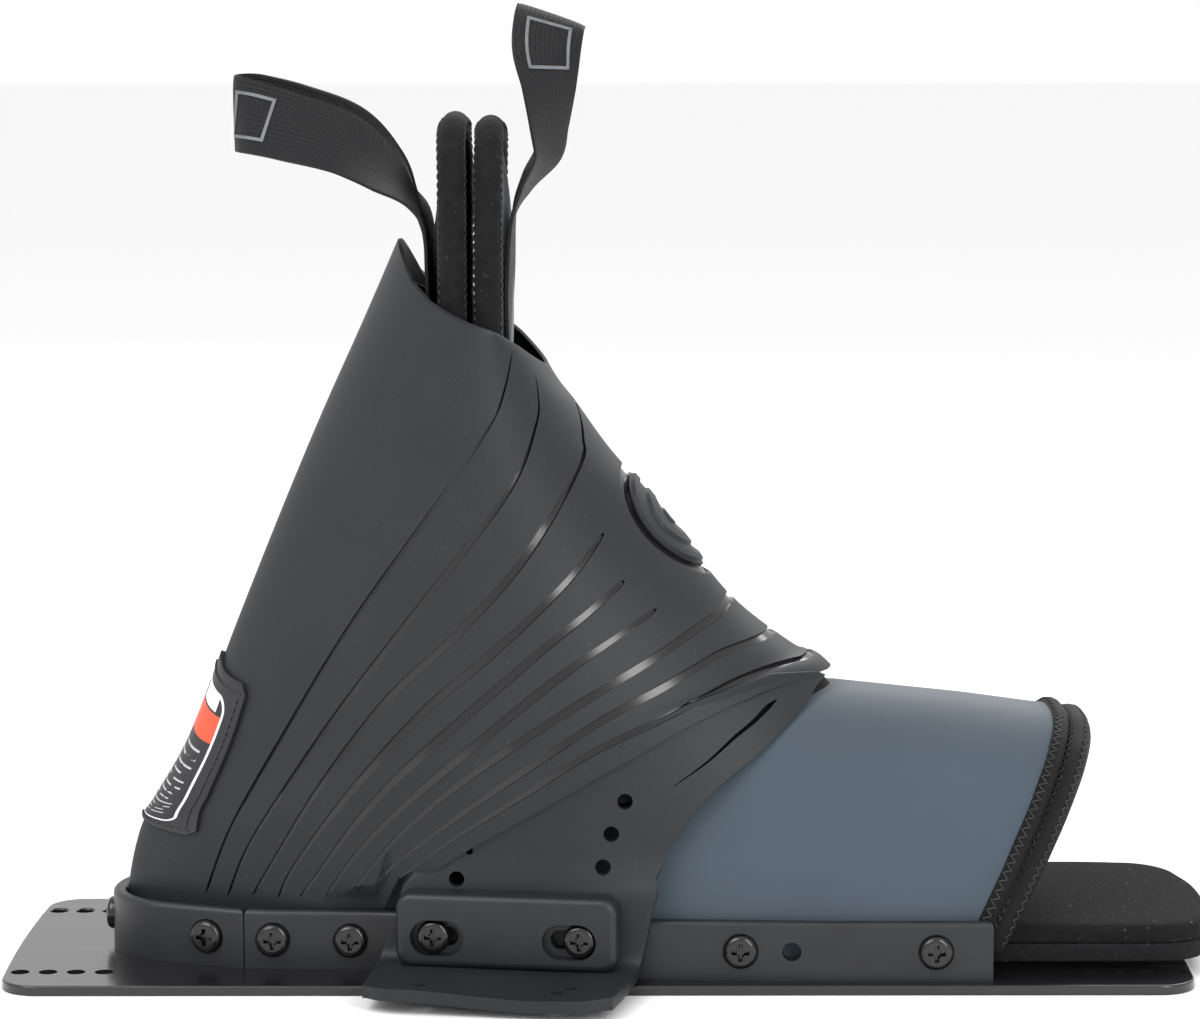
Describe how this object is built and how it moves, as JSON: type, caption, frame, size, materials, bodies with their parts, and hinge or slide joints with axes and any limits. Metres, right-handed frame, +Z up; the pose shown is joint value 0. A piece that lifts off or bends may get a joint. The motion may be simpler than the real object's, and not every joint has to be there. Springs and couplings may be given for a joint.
{
  "type": "water ski boot binding",
  "caption": "Slip-in rubber and neoprene water ski boot binding on a drilled aluminium mounting plate, with clamped side rails, wing clamps and webbing pull loops.",
  "frame": {"origin": "centre of the mounting plate's underside", "axes": "+X to the toe, +Y to the little-toe side, +Z up from the plate"},
  "size_m": [0.4142, 0.1944, 0.3333],
  "materials": {
    "plate_metal": "brushed, black anodised",
    "bracket_metal": "mill finish",
    "foam": "closed-cell foam, fine skin",
    "rail_plastic": "fine moulded grain",
    "screw_steel": "black plated, semi-gloss",
    "shell_rubber": "matt moulded rubber with glossy grooves",
    "black_neoprene": "nylon-faced neoprene",
    "blue_grey_neoprene": "nylon-faced neoprene",
    "binding_tape": "stretch binding, zigzag stitched",
    "webbing": "ribbed nylon webbing",
    "patch_vinyl": "smooth sewn vinyl",
    "clamp_plastic": "satin moulded"
  },
  "bodies": {
    "binding": {"base_plate": "plate_metal", "bracket_rivets": "bracket_metal", "heel_bracket": "bracket_metal", "side_bracket_near": "bracket_metal", "side_bracket_far": "bracket_metal", "footbed_base": "foam", "footbed_top": "foam", "heel_rail": "rail_plastic", "side_rail_near": "rail_plastic", "side_rail_far": "rail_plastic", "heel_rail_screws": "screw_steel", "side_rail_screws": "screw_steel", "clamp_screws": "screw_steel", "rubber_shell": "shell_rubber", "inner_sock": "black_neoprene", "heel_patch": "patch_vinyl", "toe_cover": "blue_grey_neoprene", "toe_cover_binding": "binding_tape", "toe_liner": "black_neoprene", "toe_liner_binding": "binding_tape", "rear_cuff_binding": "binding_tape", "front_cuff_binding": "binding_tape", "liner_rear_panel": "black_neoprene", "liner_front_panel": "black_neoprene", "rear_strap_tails": "webbing", "front_strap_tails": "webbing"},
    "near_clamp": {"clamp_plate_near": "clamp_plastic"},
    "far_clamp": {"clamp_plate_far": "clamp_plastic"},
    "rear_loop": {"rear_pull_loop": "webbing"},
    "front_loop": {"front_pull_loop": "webbing"}
  },
  "joints": [
    {"name": "near_clamp_slide", "type": "slide", "parent": "binding", "child": "near_clamp", "axis": [0.9899, -0.1416, 0], "range_m": [0, 0.0015]},
    {"name": "far_clamp_slide", "type": "slide", "parent": "binding", "child": "far_clamp", "axis": [0.9899, 0.1416, 0], "range_m": [0, 0.0015]},
    {"name": "rear_loop_flex", "type": "hinge", "parent": "binding", "child": "rear_loop", "pos_m": [-0.06, 0, 0.262], "axis": [0, 1, 0], "range_deg": [-25, 20]},
    {"name": "front_loop_flex", "type": "hinge", "parent": "binding", "child": "front_loop", "pos_m": [-0.019, 0, 0.268], "axis": [0, 1, 0], "range_deg": [0, 45]}
  ]
}
